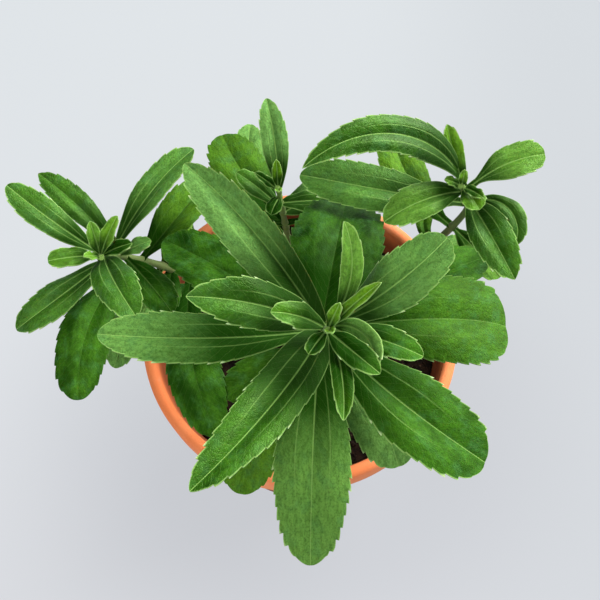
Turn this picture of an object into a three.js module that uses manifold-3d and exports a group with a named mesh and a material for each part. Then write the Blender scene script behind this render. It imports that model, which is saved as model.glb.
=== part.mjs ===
// A young stevia plant in a terracotta pot.
//
// The pot stands on the floor with its base centre at the origin, +Z up, and all sizes are in
// millimetres. Four leafy stems rise out of the soil. Stevia sets its leaves in opposite pairs,
// each pair turned about a quarter from the one below, so every stem is a tapered rod that
// carries a short table of leaves, and each leaf is one thin toothed blade grown from that rod.

import * as THREE from "three";
import { mergeVertices } from "three/addons/utils/BufferGeometryUtils.js";
import Module from "manifold-3d";

const wasm = await Module();
wasm.setup();

// Pot: a tapered body, a taller collar that overhangs it, and a rounded lip
const RIM_RADIUS = 60;
const POT_HEIGHT = 105;
const COLLAR_HEIGHT = 16;
const COLLAR_CHAMFER = 1.5;
const COLLAR_EDGE = [{ inset: 2.1, up: 0 }, { inset: 1.2, up: 1.05 }];
const BODY_TOP_RADIUS = 54.5;
const BASE_RADIUS = 36;
const FOOT_CHAMFER = 1.5;
const FLOOR_THICKNESS = 8;
const LIP_RADIUS = 2.4;
const LIP_STEPS = 6;
const INNER_BASE_RADIUS = 31.5;
const INNER_SHOULDER = { radius: 50, z: 84 };
const INNER_RIM = { radius: 55.4, z: 101.4 };
const POT_SEGMENTS = 40;
const DRAIN = { count: 3, radius: 4, ring: 18, sides: 16 };

// Soil: it fills the pot to below the rim, a little heaped and lumpy
const SOIL_LEVEL = 91.5;
const SOIL_HEAP = 1.2;
const SOIL_LUMP = 0.8;
const SOIL_WAVES = { wideX: 0.21, shift: 1.1, wideY: 0.27, fineX: 0.5, fineY: 0.41, fine: 0.6 };
const SOIL_RINGS = 6;
const WALL_GAP = 0.45;
const SEAT_GAP = 0.3;

// Stems: a stem stands in a hole that takes in the buried first part of its length
const STEM_BASE_RADIUS = 1.8;
const STEM_TIP_RADIUS = 0.8;
const STEM_SIDES = 8;
const STEM_STEPS = 18;
const HOLE_REACH = 0.3;

// Leaves: lengths along a blade are shares of its own length
const LINE_STEPS = 48;
const DROOP_POWER = 1.4;
const PETIOLE_SHARE = 0.2;
const EDGE_THICKNESS = 0.8;
const RIB_THICKNESS = 1.1;
const FOLD_AT_ROOT = 1.25;
const FOLD_AT_TIP = 0.75;
const RIPPLE_TURN = 15;
const RIPPLE_OFFSET = 1.3;
const TOOTH_SHARE = 0.055;
const TOOTH_LEAN = 0.35;
const TOOTHED_FROM = 0.5;
const TOOTHED_TO = 0.93;
const TIP_SHOULDER = 0.975;
const MM_PER_TOOTH = 15;
const LEAF_DEFAULTS = {
  bend: 0, fold: 12, roll: 0, widest: 0.62, blunt: 0.58, swell: 1.1, ripple: 0.5, skew: 0,
};

// A stem's line is the four control points of its curve, from the buried end to the growing tip.
// Each leaf is [place along the stem, heading, length, width, rise, droop, extras]. Heading,
// rise and droop are in degrees, with heading 0 along +X and 90 along +Y: a leaf leaves the stem
// at its rise above the level, and by its tip it has come down by its droop. The extras are
// bend, how far it turns sideways on its way; fold, how far each half is lifted into a V; roll,
// its turn about its own rib; skew, the share by which its left half is wider and its right half
// narrower; widest, the share along it of the full width; blunt, the power that closes its tip;
// swell, the power that opens its base; and ripple, the height of its edge's waves.
const LEAFY_STEMS = {
  stem_centre: {
    line: [[6, -4, 70], [6, -14, 130], [6, -34, 195], [7, -62, 255]],
    leaves: [
      [0.23, 112, 30, 10, 24, 50, {}],
      [0.23, 290, 30, 10, 20, 50, {}],
      [0.34, 208, 38, 16, 10, 34, {}],
      [0.34, 11, 40, 15, 20, 50, {}],
      [0.44, 228, 60, 21, 10, 48, { bend: 32, blunt: 0.5 }],
      [0.44, 27, 68, 20, 20, 40, { blunt: 0.7 }],
      [0.54, 311, 52, 20, 9, 62, { bend: -18, roll: 6, blunt: 0.5, swell: 1 }],
      [0.54, 146, 64, 20, 16, 40, {}],
      [0.65, 265, 73, 22.5, 6, 52, { bend: 5, fold: 8, widest: 0.58 }],
      [0.65, 80, 55, 29, 8, 50, { fold: 8, widest: 0.6, blunt: 0.45 }],
      [0.72, 198, 66.5, 16.5, 21, 23, { bend: -24, roll: 5, blunt: 0.5 }],
      [0.72, 4, 61, 27, 13, 60, { bend: 4, roll: 6, fold: 8, widest: 0.7, blunt: 0.4 }],
      [0.8, 129.5, 62, 15.4, 38, 41,
        { bend: 8, fold: 26, roll: -12, skew: 0.24, widest: 0.5, blunt: 0.62, swell: 0.4 }],
      [0.8, 306, 61, 22, 8, 44, { bend: 32, widest: 0.66, blunt: 0.45 }],
      [0.855, 10, 43, 15, 39, 26,
        { bend: 36, fold: 14, roll: 8, blunt: 0.4, swell: 1.4, ripple: 1 }],
      [0.855, 251, 67, 16.5, 34, 36,
        { bend: -27, fold: 28, widest: 0.42, blunt: 0.6, swell: 0.55 }],
      [0.905, 181, 43, 13, 52, 49, { fold: 14, roll: -20, widest: 0.56, blunt: 0.75, ripple: 1.2 }],
      [0.905, 337, 29, 8.5, 34, 50, { fold: 14 }],
      [0.925, 5, 24, 6.5, 40, 60, { bend: -110, roll: 45, widest: 0.6 }],
      [0.945, 32, 32, 6, 54, 18, { bend: 88, fold: 20, roll: 6, widest: 0.62, swell: 1.6 }],
      [0.945, 290, 31, 5.8, 30, 24, { bend: -25, fold: 20, widest: 0.58 }],
      [0.965, 165, 17, 7.5, 45, 34, { bend: 20, fold: 20, widest: 0.52 }],
      [0.965, 304, 20.5, 7.5, 32, 39, { bend: 17, fold: 16, widest: 0.52 }],
      [0.98, 26, 21, 4, 55, 20, { fold: 30, widest: 0.5 }],
      [0.98, 235, 8.6, 4.6, 20, 40, { fold: 20 }],
      [0.99, 55, 9, 3.6, 60, 10, { fold: 20, widest: 0.5 }],
      [0.99, 290, 6.5, 3, 66, 10, { fold: 20, widest: 0.45 }],
    ],
  },
  stem_left: {
    line: [[-10, 4, 70], [-26, 18, 130], [-72, 8, 160], [-62, -12, 194]],
    leaves: [
      [0.3, 190, 24, 10, 20, 40, {}],
      [0.3, 20, 22, 9, 20, 40, {}],
      [0.42, 264, 62, 19, 10, 38, { bend: 34 }],
      [0.42, 108, 30, 13, 14, 40, {}],
      [0.5, 100, 12, 5.5, 76, 12, { widest: 0.5 }],
      [0.5, 266, 17, 9, 15, 40, { swell: 0.6 }],
      [0.54, 244, 41, 13, 4, 50, {}],
      [0.54, 72, 26, 10, 14, 40, {}],
      [0.63, 233, 62, 17, 34, 60, { bend: 40, roll: -8, widest: 0.66, blunt: 0.45, swell: 2.8 }],
      [0.63, 44, 35, 16, 28, 40, { bend: 13, fold: 30, blunt: 0.7, swell: 1 }],
      [0.72, 133, 41.5, 10, 25, 28, { bend: 10, fold: 16, blunt: 0.75 }],
      [0.72, 311, 26.5, 12, 12, 50, {}],
      [0.76, 16, 13, 5.5, 35, 30, {}],
      [0.8, 56, 45, 11.3, 35, 36, { bend: -13, fold: 28 }],
      [0.8, 239, 42, 11.5, 25, 56, { bend: -32, fold: 14, widest: 0.66 }],
      [0.88, 156, 38, 10.5, 27, 14, { bend: -14, fold: 14, blunt: 0.5 }],
      [0.88, 286, 37, 13.5, 48, 53, { bend: 19, fold: 14, widest: 0.56, blunt: 0.5 }],
      [0.93, 192, 17, 7, 24, 30, { fold: 16, blunt: 0.4 }],
      [0.93, 10, 12, 5, 40, 30, { fold: 20 }],
      [0.95, 108, 12.5, 5, 60, 20, { fold: 24, widest: 0.5 }],
      [0.97, 55, 15.5, 5, 58, 30, { fold: 24, widest: 0.5 }],
      [0.985, 213, 8, 3.5, 60, 20, { fold: 20, widest: 0.45 }],
    ],
  },
  stem_right: {
    line: [[16, 6, 70], [53, 36, 130], [64, 15, 170], [50, 8, 204]],
    leaves: [
      [0.3, 20, 26, 11, 20, 40, {}],
      [0.3, 200, 30, 12, 20, 40, {}],
      [0.42, 150, 16, 6, 30, 30, { bend: -110 }],
      [0.55, 146, 46, 15.5, 16, 40, { bend: -60, blunt: 0.5 }],
      [0.55, 310, 25, 12, 6, 30, {}],
      [0.8, 185, 58, 16, 20, 40, { bend: -28, fold: 16, roll: -10 }],
      [0.8, 16, 27, 7.5, 24, 66, { bend: -128, widest: 0.55, swell: 2 }],
      [0.88, 155, 77, 12, 72, 97, { bend: 63, roll: -18, widest: 0.5, blunt: 0.8, swell: 1.7 }],
      [0.88, 284, 36, 14, 28, 43, { bend: 12, fold: 24, roll: 15, widest: 0.53, blunt: 0.7 }],
      [0.94, 37, 28, 11.8, 25, 27, { bend: -32, fold: 14, widest: 0.66, blunt: 0.4, swell: 1.8 }],
      [0.94, 200, 30.5, 12, 27, 49, { bend: 12, fold: 16, roll: -9, widest: 0.55 }],
      [0.965, 118, 21.5, 7, 47, 13, { bend: -12, fold: 28, widest: 0.55, blunt: 0.7 }],
      [0.965, 296, 10, 8, 30, 40, { fold: 18, widest: 0.55 }],
      [0.98, 316, 9, 4, 40, 40, { fold: 18, widest: 0.5 }],
      [0.98, 168, 7, 3.5, 45, 40, { fold: 18, widest: 0.5 }],
      [0.99, 80, 6, 3, 66, 20, { fold: 20, widest: 0.45 }],
    ],
  },
  stem_back: {
    line: [[-4, 34, 70], [-3, 37, 98], [-6, 38, 125], [-8, 36, 153]],
    leaves: [
      [0.35, 20, 28, 12, 36, 30, {}],
      [0.35, 200, 30, 12, 24, 40, {}],
      [0.5, 132, 54, 12.5, 27, 52, { bend: -50, swell: 1.8 }],
      [0.6, 140, 47, 20, 28, 48, { bend: -32 }],
      [0.64, 184, 25, 12, 16, 30, { swell: 2.3 }],
      [0.64, 6, 26, 12, 16, 40, { swell: 2.3 }],
      [0.78, 145, 22, 8, 30, 30, { fold: 14 }],
      [0.74, 30, 25, 14, 10, 26, { swell: 0.6 }],
      [0.84, 0, 21, 9, 14, 26, { swell: 0.5 }],
      [0.9, 93, 36, 10, 42, 20, { bend: 12, fold: 18, widest: 0.56 }],
      [0.9, 250, 10, 6, 40, 60, { fold: 16 }],
      [0.96, 160, 12, 4, 50, 20, { fold: 24, widest: 0.5 }],
      [0.98, 95, 12, 4, 66, 14, { fold: 24, widest: 0.5 }],
      [0.98, 275, 5, 3, 60, 20, { fold: 20, widest: 0.5 }],
    ],
  },
};

const degrees = THREE.MathUtils.degToRad;

// Keeps only a geometry's positions, shared between neighbouring triangles.
function bare(geometry) {
  geometry.deleteAttribute("normal");
  geometry.deleteAttribute("uv");
  return mergeVertices(geometry);
}

// The closed solid that a geometry bounds.
function solid(geometry) {
  return new wasm.Manifold(new wasm.Mesh({
    numProp: 3,
    vertProperties: new Float32Array(geometry.attributes.position.array),
    triVerts: new Uint32Array(geometry.index.array),
  }));
}

function geometryOf(manifold) {
  const mesh = manifold.getMesh();
  const geometry = new THREE.BufferGeometry();
  geometry.setAttribute("position", new THREE.BufferAttribute(mesh.vertProperties, 3));
  geometry.setIndex(new THREE.BufferAttribute(mesh.triVerts, 1));
  return geometry;
}

// Skins a row of equal rings into one closed solid. Each ring runs anticlockwise as seen from
// the far end. From side flipFrom on, the quads are split along their other diagonal, so that
// the two faces of a thin blade are cut into the same triangles and can't cross each other.
function loft(rings, flipFrom) {
  const size = rings[0].length;
  const index = [];
  for (let i = 0; i < rings.length - 1; i++) {
    for (let k = 0; k < size; k++) {
      const a = i * size + k;
      const b = i * size + ((k + 1) % size);
      const c = b + size;
      const d = a + size;
      if (k < flipFrom) {
        index.push(a, b, c, a, c, d);
      } else {
        index.push(a, b, d, b, c, d);
      }
    }
  }
  const last = (rings.length - 1) * size;
  for (let k = 2; k < size; k++) {
    const next = (k + 1) % size;
    index.push(1, next, k);
    index.push(last + 1, last + k, last + next);
  }
  const geometry = new THREE.BufferGeometry();
  const points = rings.flat().flatMap((point) => point.toArray());
  geometry.setAttribute("position", new THREE.Float32BufferAttribute(points, 3));
  geometry.setIndex(index);
  return geometry;
}

// Stems

function stemCurve(line) {
  return new THREE.CubicBezierCurve3(...line.map((point) => new THREE.Vector3(...point)));
}

function stemRadius(t) {
  return THREE.MathUtils.lerp(STEM_BASE_RADIUS, STEM_TIP_RADIUS, t);
}

// A ring of points round the stem at t, square to it, with its radius widened by extra and its
// centre moved along the stem by shift.
function stemRing(curve, t, extra, shift) {
  const along = curve.getTangent(t);
  const side = new THREE.Vector3(1, 0, 0).projectOnPlane(along).normalize();
  const up = along.clone().cross(side);
  const centre = curve.getPoint(t).addScaledVector(along, shift);
  const radius = stemRadius(t) + extra;
  return Array.from({ length: STEM_SIDES }, (_, k) => {
    const angle = (2 * Math.PI * k) / STEM_SIDES;
    return centre.clone()
      .addScaledVector(side, radius * Math.cos(angle))
      .addScaledVector(up, radius * Math.sin(angle));
  });
}

function stemRod(curve) {
  const rings = [];
  for (let i = 0; i <= STEM_STEPS; i++) {
    rings.push(stemRing(curve, i / STEM_STEPS, 0, 0));
  }
  return loft(rings, STEM_SIDES);
}

// The plain hole that a stem stands in: the buried stretch of the rod, a little wider.
function stemHole(curve) {
  const rings = [stemRing(curve, 0, SEAT_GAP, -SEAT_GAP)];
  const steps = Math.ceil(HOLE_REACH * STEM_STEPS);
  for (let i = 1; i <= steps; i++) {
    rings.push(stemRing(curve, i / STEM_STEPS, SEAT_GAP, 0));
  }
  return loft(rings, STEM_SIDES);
}

// Leaves

function readLeaf([at, heading, length, width, rise, droop, extras]) {
  return { ...LEAF_DEFAULTS, at, heading, length, width, rise, droop, ...extras };
}

// The leaf's rib, as frames: a point, the way on, the way to its left and the way up.
function ribFrames(root, leaf) {
  const frames = [];
  const point = root.clone();
  for (let i = 0; i <= LINE_STEPS; i++) {
    const s = i / LINE_STEPS;
    const climb = degrees(leaf.rise - leaf.droop * s ** DROOP_POWER);
    const turn = degrees(leaf.heading + leaf.bend * s);
    const flat = new THREE.Vector3(Math.cos(turn), Math.sin(turn), 0);
    const along = flat.multiplyScalar(Math.cos(climb)).setZ(Math.sin(climb));
    const left = new THREE.Vector3(-Math.sin(turn), Math.cos(turn), 0);
    left.applyAxisAngle(along, degrees(leaf.roll));
    const up = along.clone().cross(left);
    frames.push({ point: point.clone(), along, left, up });
    point.addScaledVector(along, leaf.length / LINE_STEPS);
  }
  return frames;
}

// Half the blade's width at s: a narrow stalk that widens to the full blade and closes again
// in a rounded tip.
function halfWidth(leaf, s) {
  const rising = Math.sin((Math.PI / 2) * Math.min(s / leaf.widest, 1)) ** leaf.swell;
  const past = Math.max(0, (s - leaf.widest) / (1 - leaf.widest));
  const closing = Math.max(0, 1 - past ** 2) ** leaf.blunt;
  return (leaf.width / 2) * Math.max(PETIOLE_SHARE, rising * closing);
}

// Stations along the blade: a few on the plain lower half, one for each tooth on the upper half,
// and one or two at the tip. Teeth stand on the left edge and the right edge in turn, as side 1
// and -1, and reach forward by lean. A tiny leaf has none.
function stations(leaf) {
  const teeth = Math.round(leaf.length / MM_PER_TOOTH);
  const plain = teeth > 2 ? 4 : 3;
  const list = [];
  for (let i = 0; i < plain; i++) {
    list.push({ s: (TOOTHED_FROM * i) / plain, tooth: 0 });
  }
  const toothed = 2 * Math.max(teeth, 1);
  const pitch = (TOOTHED_TO - TOOTHED_FROM) / (toothed - 1);
  for (let i = 0; i < toothed; i++) {
    const side = i % 2 === 0 ? 1 : -1;
    list.push({ s: TOOTHED_FROM + i * pitch, tooth: teeth > 1 ? side : 0 });
  }
  if (teeth > 1) {
    list.push({ s: TIP_SHOULDER, tooth: 0 });
  }
  list.push({ s: 1, tooth: 0 });
  return list.map((station) => ({ ...station, lean: TOOTH_LEAN * pitch * leaf.length }));
}

// How far an edge waves up or down at s. The heading starts each leaf's wave at its own place.
function edgeRipple(leaf, s, side) {
  const turn = RIPPLE_TURN * s + RIPPLE_OFFSET * side + leaf.heading;
  return leaf.ripple * Math.sin(turn) * Math.sin(Math.PI * s);
}

// One ring of six points round the blade: left edge, rib and right edge above, then below.
function bladeRing(frames, leaf, { s, tooth, lean }) {
  const place = s * LINE_STEPS;
  const i = Math.min(Math.floor(place), LINE_STEPS - 1);
  const frame = frames[i];
  const centre = frame.point.clone().lerp(frames[i + 1].point, place - i);
  const fold = degrees(leaf.fold * THREE.MathUtils.lerp(FOLD_AT_ROOT, FOLD_AT_TIP, s));
  const above = [];
  const below = [];
  for (const side of [1, 0, -1]) {
    const toothed = side === tooth && side !== 0;
    const plain = halfWidth(leaf, s) * (1 + side * leaf.skew);
    const half = plain + (toothed ? TOOTH_SHARE * leaf.width : 0);
    const lift = side === 0 ? 0 : half * Math.sin(fold) + edgeRipple(leaf, s, side);
    const middle = centre.clone()
      .addScaledVector(frame.left, side * half * Math.cos(fold))
      .addScaledVector(frame.up, lift)
      .addScaledVector(frame.along, toothed ? lean : 0);
    const thickness = side === 0 ? RIB_THICKNESS : EDGE_THICKNESS;
    above.push(middle.clone().addScaledVector(frame.up, thickness / 2));
    below.unshift(middle.clone().addScaledVector(frame.up, -thickness / 2));
  }
  return [...above, ...below];
}

function blade(curve, leaf) {
  const frames = ribFrames(curve.getPoint(leaf.at), leaf);
  const rings = stations(leaf).map((station) => bladeRing(frames, leaf, station));
  return loft(rings, rings[0].length / 2);
}

// A stem with all its leaves, grown together as one solid.
function leafyStem({ line, leaves }) {
  const curve = stemCurve(line);
  let plant = solid(stemRod(curve));
  for (const leaf of leaves.map(readLeaf)) {
    plant = plant.add(solid(blade(curve, leaf)));
  }
  return geometryOf(plant);
}

// Pot and soil

// The inner wall's radius at a height: a straight taper to the shoulder, then the flare inside
// the collar.
function innerRadius(z) {
  if (z < INNER_SHOULDER.z) {
    const share = (z - FLOOR_THICKNESS) / (INNER_SHOULDER.z - FLOOR_THICKNESS);
    return THREE.MathUtils.lerp(INNER_BASE_RADIUS, INNER_SHOULDER.radius, share);
  }
  const share = (z - INNER_SHOULDER.z) / (INNER_RIM.z - INNER_SHOULDER.z);
  return THREE.MathUtils.lerp(INNER_SHOULDER.radius, INNER_RIM.radius, share);
}

function potProfile() {
  const collarZ = POT_HEIGHT - COLLAR_HEIGHT;
  const lipZ = POT_HEIGHT - LIP_RADIUS;
  const lipX = RIM_RADIUS - LIP_RADIUS;
  const path = new THREE.Path();
  path.moveTo(0, 0);
  path.lineTo(BASE_RADIUS - FOOT_CHAMFER, 0);
  path.lineTo(BASE_RADIUS, FOOT_CHAMFER);
  path.lineTo(BODY_TOP_RADIUS, collarZ - COLLAR_CHAMFER);
  for (const { inset, up } of COLLAR_EDGE) {
    path.lineTo(RIM_RADIUS - inset, collarZ + up);
  }
  for (let i = 0; i < LIP_STEPS; i++) {
    const angle = (Math.PI * i) / LIP_STEPS;
    path.lineTo(lipX + LIP_RADIUS * Math.cos(angle), lipZ + LIP_RADIUS * Math.sin(angle));
  }
  path.lineTo(INNER_RIM.radius, INNER_RIM.z);
  path.lineTo(INNER_SHOULDER.radius, INNER_SHOULDER.z);
  path.lineTo(INNER_BASE_RADIUS, FLOOR_THICKNESS);
  path.lineTo(0, FLOOR_THICKNESS);
  return path.getPoints();
}

// A lathe's profile lies in X and Y, so the turned body is stood up on Z.
function turned(points, segments) {
  return bare(new THREE.LatheGeometry(points, segments).rotateX(Math.PI / 2));
}

function pot() {
  let body = solid(turned(potProfile(), POT_SEGMENTS));
  for (let i = 0; i < DRAIN.count; i++) {
    const angle = (2 * Math.PI * i) / DRAIN.count + Math.PI / 2;
    const depth = 3 * FLOOR_THICKNESS;
    const drill = new THREE.CylinderGeometry(DRAIN.radius, DRAIN.radius, depth, DRAIN.sides);
    drill.rotateX(Math.PI / 2);
    drill.translate(DRAIN.ring * Math.cos(angle), DRAIN.ring * Math.sin(angle), 0);
    body = body.subtract(solid(bare(drill)));
  }
  return geometryOf(body);
}

// The soil's surface: heaped towards the middle, with crossing waves of lumps.
function soilHeight(x, y) {
  const heap = Math.cos((Math.PI * Math.hypot(x, y)) / (2 * INNER_RIM.radius));
  const { wideX, shift, wideY, fineX, fineY, fine: share } = SOIL_WAVES;
  const wide = Math.sin(wideX * x + shift) * Math.cos(wideY * y);
  const fine = share * Math.sin(fineX * x - fineY * y);
  return SOIL_LEVEL + SOIL_HEAP * heap + SOIL_LUMP * (wide + fine);
}

// The soil before its holes are cut: turned to the pot's inside, then its flat top is raised.
function soilPlug() {
  const bottom = FLOOR_THICKNESS + SEAT_GAP;
  const points = [new THREE.Vector2(0, bottom)];
  for (const z of [bottom, INNER_SHOULDER.z, SOIL_LEVEL]) {
    points.push(new THREE.Vector2(innerRadius(z) - WALL_GAP, z));
  }
  const edge = points.at(-1).x;
  for (let i = SOIL_RINGS - 1; i >= 0; i--) {
    points.push(new THREE.Vector2((edge * i) / SOIL_RINGS, SOIL_LEVEL));
  }
  const geometry = turned(points, POT_SEGMENTS);
  const position = geometry.attributes.position;
  for (let i = 0; i < position.count; i++) {
    const x = position.getX(i);
    const y = position.getY(i);
    const onTop = position.getZ(i) > SOIL_LEVEL - SEAT_GAP;
    if (onTop && Math.hypot(x, y) < edge - SEAT_GAP) {
      position.setZ(i, soilHeight(x, y));
    }
  }
  return geometry;
}

function soil() {
  let plug = solid(soilPlug());
  for (const { line } of Object.values(LEAFY_STEMS)) {
    plug = plug.subtract(solid(stemHole(stemCurve(line))));
  }
  return geometryOf(plug);
}

// Assembly

const TERRACOTTA = new THREE.MeshStandardMaterial({ color: 0xe08350, roughness: 0.9, metalness: 0 });
const POTTING_SOIL = new THREE.MeshStandardMaterial({ color: 0x2a1a10, roughness: 1, metalness: 0 });
const LEAF_GREEN = new THREE.MeshStandardMaterial({ color: 0x3f7d2c, roughness: 0.55, metalness: 0 });

function piece(name, geometry, material) {
  const mesh = new THREE.Mesh(geometry, material);
  mesh.name = name;
  return mesh;
}

const plant = new THREE.Group();
plant.add(piece("pot", pot(), TERRACOTTA));
plant.add(piece("soil", soil(), POTTING_SOIL));
for (const [name, stem] of Object.entries(LEAFY_STEMS)) {
  plant.add(piece(name, leafyStem(stem), LEAF_GREEN));
}

export default plant;
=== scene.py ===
# %% [markdown]
# # A young stevia plant in a terracotta pot
#
# Stevia is a sweet herb. It grows in slender upright stems, and its leaves come in opposite
# pairs, each pair turned about a quarter from the pair below. This lesson dresses a plain model
# of such a plant: the plain solids say where everything stands, and each of them is replaced here
# by a finer piece of the same form.

# %% Load the plain model
import math
import random

import bmesh
import bpy
from mathutils import Matrix, Vector, noise


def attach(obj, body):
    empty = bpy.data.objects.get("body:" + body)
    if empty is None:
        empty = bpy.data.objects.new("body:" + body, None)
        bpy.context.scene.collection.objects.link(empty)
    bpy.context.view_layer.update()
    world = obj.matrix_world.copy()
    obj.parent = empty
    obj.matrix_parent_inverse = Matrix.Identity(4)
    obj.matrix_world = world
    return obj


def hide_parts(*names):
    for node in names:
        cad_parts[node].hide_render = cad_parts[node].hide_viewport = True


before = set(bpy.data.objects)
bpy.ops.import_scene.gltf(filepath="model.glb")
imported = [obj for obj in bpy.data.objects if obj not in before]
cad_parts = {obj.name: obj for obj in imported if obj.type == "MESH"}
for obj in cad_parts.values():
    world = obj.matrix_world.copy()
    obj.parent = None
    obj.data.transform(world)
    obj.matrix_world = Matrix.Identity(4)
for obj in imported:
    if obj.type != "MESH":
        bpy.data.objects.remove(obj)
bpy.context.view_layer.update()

MM = 0.001
print("plain nodes:", sorted(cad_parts))

# %% [markdown]
# ## The view
#
# The plant is looked down on, at 24 degrees from straight down, as it would be seen on a low
# table. A long lens could stand further off and flatten the plant. A 75 mm lens from half a metre
# away is used instead, because the tall middle stem then spreads over the pot as it does to the
# eye.

# %% Camera
CAMERA_PLACE = Vector((0, -0.18265, 0.54473))
CAMERA_TILT = math.radians(24)
LENS_MM = 75
SENSOR_MM = 36
NEAR_CLIP = 0.01

camera = bpy.data.objects.new("camera", bpy.data.cameras.new("camera"))
camera.data.lens = LENS_MM
camera.data.sensor_width = SENSOR_MM
camera.data.clip_start = NEAR_CLIP
camera.location = CAMERA_PLACE
camera.rotation_euler = (CAMERA_TILT, 0, 0)
bpy.context.collection.objects.link(camera)
bpy.context.scene.camera = camera
print("camera height in mm:", round(CAMERA_PLACE.z / MM))

# %% [markdown]
# ## Light
#
# Leaves are read by their sheen, so the light has to be wide and soft: a hard lamp would give
# sparkles and black gaps. One large panel, high behind the plant and to its right, is the
# window: its light rakes across the blades and shines off them towards the viewer. A weak panel
# overhead and another in front open the shadows. The sky is kept faint, so that the hollows
# between the leaves stay deep. Colours are shown as they are, with no film curve on top, so that
# the greens stay fresh.

# %% Sky and panels
SKY_COLOUR = (0.84, 0.90, 1, 1)
SKY_STRENGTH = 0.05

bpy.context.scene.view_settings.view_transform = "Standard"

sky = bpy.data.worlds.new("sky")
sky.use_nodes = True
sky.node_tree.nodes["Background"].inputs["Color"].default_value = SKY_COLOUR
sky.node_tree.nodes["Background"].inputs["Strength"].default_value = SKY_STRENGTH
bpy.context.scene.world = sky


def panel(name, place, aim, size, power, colour):
    """A square soft light at place, facing aim."""
    light = bpy.data.lights.new(name, "AREA")
    light.size = size
    light.energy = power
    light.color = colour
    lamp = bpy.data.objects.new(name, light)
    lamp.location = place
    lamp.rotation_euler = (Vector(aim) - Vector(place)).to_track_quat("-Z", "Y").to_euler()
    bpy.context.collection.objects.link(lamp)
    print("light", name, "size in mm:", round(size / MM), "watts:", power)


panel("window", (1.35, 1.05, 1.2), (0, 0, 0.15), 1.8, 108, (1, 0.99, 0.96))
panel("ceiling", (-0.3, -0.2, 1.6), (0, 0, 0.1), 1.4, 10, (1, 1, 1))
panel("fill", (-0.4, -1.0, 1.0), (0, 0, 0.1), 0.9, 10, (1, 0.99, 0.97))

# %% [markdown]
# ## Helpers for pieces
#
# Every piece here ends the same way: its working mesh is turned into an object at the origin,
# shaded smooth with sharp creases kept, given its finish, and set riding on the model. Where a
# piece has several finishes, they come as a list, and each face knows its own by number. A piece
# that takes the place of a plain solid says so, and the solid is then hidden.

# %% Finish a piece
CREASE = math.radians(50)


def crease(bm):
    """Smooth shading everywhere but on edges that turn sharply."""
    for face in bm.faces:
        face.smooth = True
    for edge in bm.edges:
        edge.smooth = edge.calc_face_angle(0) < CREASE


def show(bm, name, finish, slot, *stands_for):
    """Turns a working mesh into a piece that rides on the model."""
    crease(bm)
    mesh = bpy.data.meshes.new(name)
    bm.to_mesh(mesh)
    bm.free()
    for item in finish if isinstance(finish, list) else [finish]:
        mesh.materials.append(item)
    piece = bpy.data.objects.new(name, mesh)
    bpy.context.collection.objects.link(piece)
    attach(piece, "root")
    if stands_for:
        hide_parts(*stands_for)
    print(name, "faces:", len(mesh.polygons))
    return piece


# %% [markdown]
# ## Helpers for finishes
#
# A finish is a small network of nodes. Written out in full, each node takes four or five lines,
# and the idea is lost among them. These helpers add one node a line and return its output, so
# that a finish reads as a recipe: take this pattern, sharpen it, mix two colours by it.

# %% Nodes, one a line
class Finish:
    """A material being mixed. Its shader is the one that the surface ends in."""

    def __init__(self, name, roughness, **constants):
        self.material = bpy.data.materials.new(name)
        self.material.use_nodes = True
        self.tree = self.material.node_tree
        self.shader = self.tree.nodes["Principled BSDF"]
        self.shader.inputs["Roughness"].default_value = roughness
        for socket, value in constants.items():
            self.shader.inputs[socket.replace("_", " ")].default_value = value

    def put(self, socket, value):
        """Sets a socket to a constant, or links another node's output to it."""
        if isinstance(value, bpy.types.NodeSocket):
            self.tree.links.new(value, socket)
        else:
            socket.default_value = value

    def node(self, kind, inputs, output=0, **settings):
        """Adds a node and returns one of its outputs. Inputs are named or numbered sockets."""
        node = self.tree.nodes.new("ShaderNode" + kind)
        for key, value in settings.items():
            setattr(node, key, value)
        for key, value in inputs.items():
            self.put(node.inputs[key], value)
        return node.outputs[output]

    def read(self, name):
        """A number that the mesh carries at each of its points."""
        return self.node("Attribute", {}, "Fac", attribute_name=name)

    def object_place(self):
        """Where a point lies in the piece's own space."""
        return self.node("TexCoord", {}, "Object")

    def sum(self, kind, first, second=0.0, third=0.0):
        """Arithmetic on numbers, by the Math node's own names."""
        return self.node("Math", {0: first, 1: second, 2: third}, operation=kind)

    def fade(self, value, start, end, low=0.0, high=1.0):
        """Goes smoothly from low to high as value goes from start to end."""
        inputs = {"Value": value, "From Min": start, "From Max": end, "To Min": low, "To Max": high}
        return self.node("MapRange", inputs, interpolation_type="SMOOTHSTEP")

    def place(self, x, y, z):
        """Three numbers as one place."""
        return self.node("CombineXYZ", {0: x, 1: y, 2: z})

    def grain(self, place, scale, detail=2.0, stretch=(1, 1, 1)):
        """Soft noise from 0 to 1."""
        spread = self.node("Mapping", {"Vector": place, "Scale": stretch})
        inputs = {"Vector": spread, "Scale": scale, "Detail": detail, "Roughness": 0.6}
        return self.node("TexNoise", inputs, "Fac")

    def cells(self, place, scale, feature="DISTANCE_TO_EDGE"):
        """How far a point lies from the border of its cell, or from its middle."""
        inputs = {"Vector": place, "Scale": scale}
        return self.node("TexVoronoi", inputs, "Distance", feature=feature)

    def mix(self, share, first, second):
        """Mixes two colours by a share from 0 to 1."""
        inputs = {"Factor": share, 6: first, 7: second}
        return self.node("Mix", inputs, 2, data_type="RGBA")

    def relief(self, height, depth_mm, strength, under=None):
        """Turns a height from 0 to 1 into a bump of that depth, over the bumps under it."""
        inputs = {"Height": height, "Distance": depth_mm * MM, "Strength": strength}
        if under is not None:
            inputs["Normal"] = under
        return self.node("Bump", inputs)

    def done(self, **outputs):
        """Links the finished colour, roughness or normal to the shader."""
        for socket, value in outputs.items():
            self.put(self.shader.inputs[socket.replace("_", " ")], value)
        print("finish", self.material.name, "nodes:", len(self.tree.nodes))
        return self.material


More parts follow.
